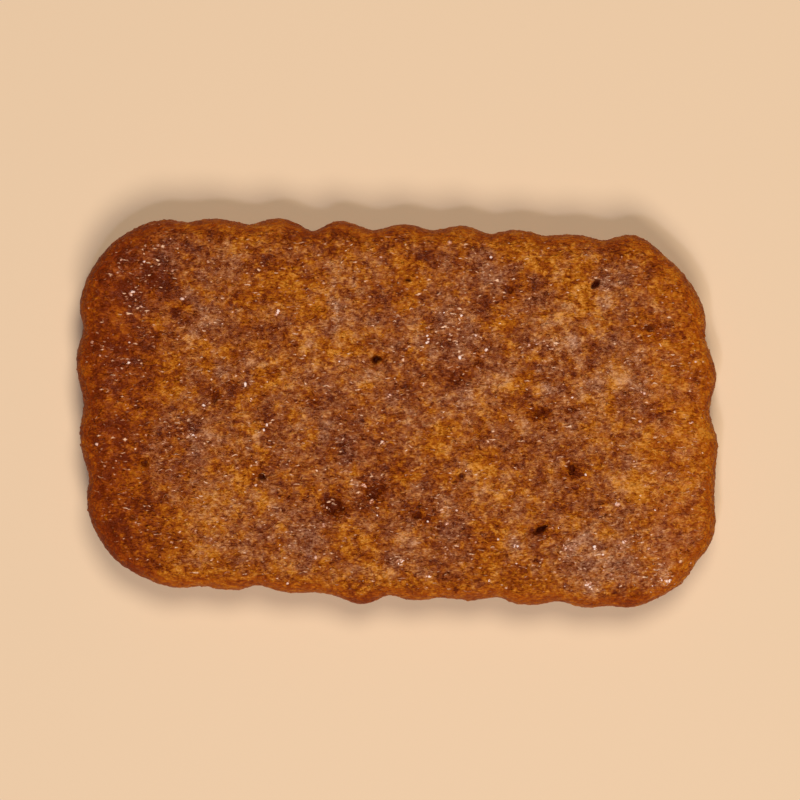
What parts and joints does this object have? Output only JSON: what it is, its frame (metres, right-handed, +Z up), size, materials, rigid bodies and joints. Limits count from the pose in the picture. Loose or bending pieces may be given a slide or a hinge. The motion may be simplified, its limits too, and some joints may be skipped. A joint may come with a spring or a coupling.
{
  "type": "speculoos biscuit",
  "caption": "Thin oblong caramelised spice biscuit with rounded corners and a scalloped edge, lying with its plain side up.",
  "frame": {"origin": "middle of the length and width, on the flat underside", "axes": "+X along the long side, +Y across it, +Z up through the thickness, out of the plain side"},
  "size_m": [0.0616, 0.0366, 0.0071],
  "materials": {
    "crust": "baked crust, caramel brown with darker and golden patches, fine open crumb, faint sugar gloss"
  },
  "bodies": {
    "root": {"biscuit": "crust"}
  },
  "joints": []
}
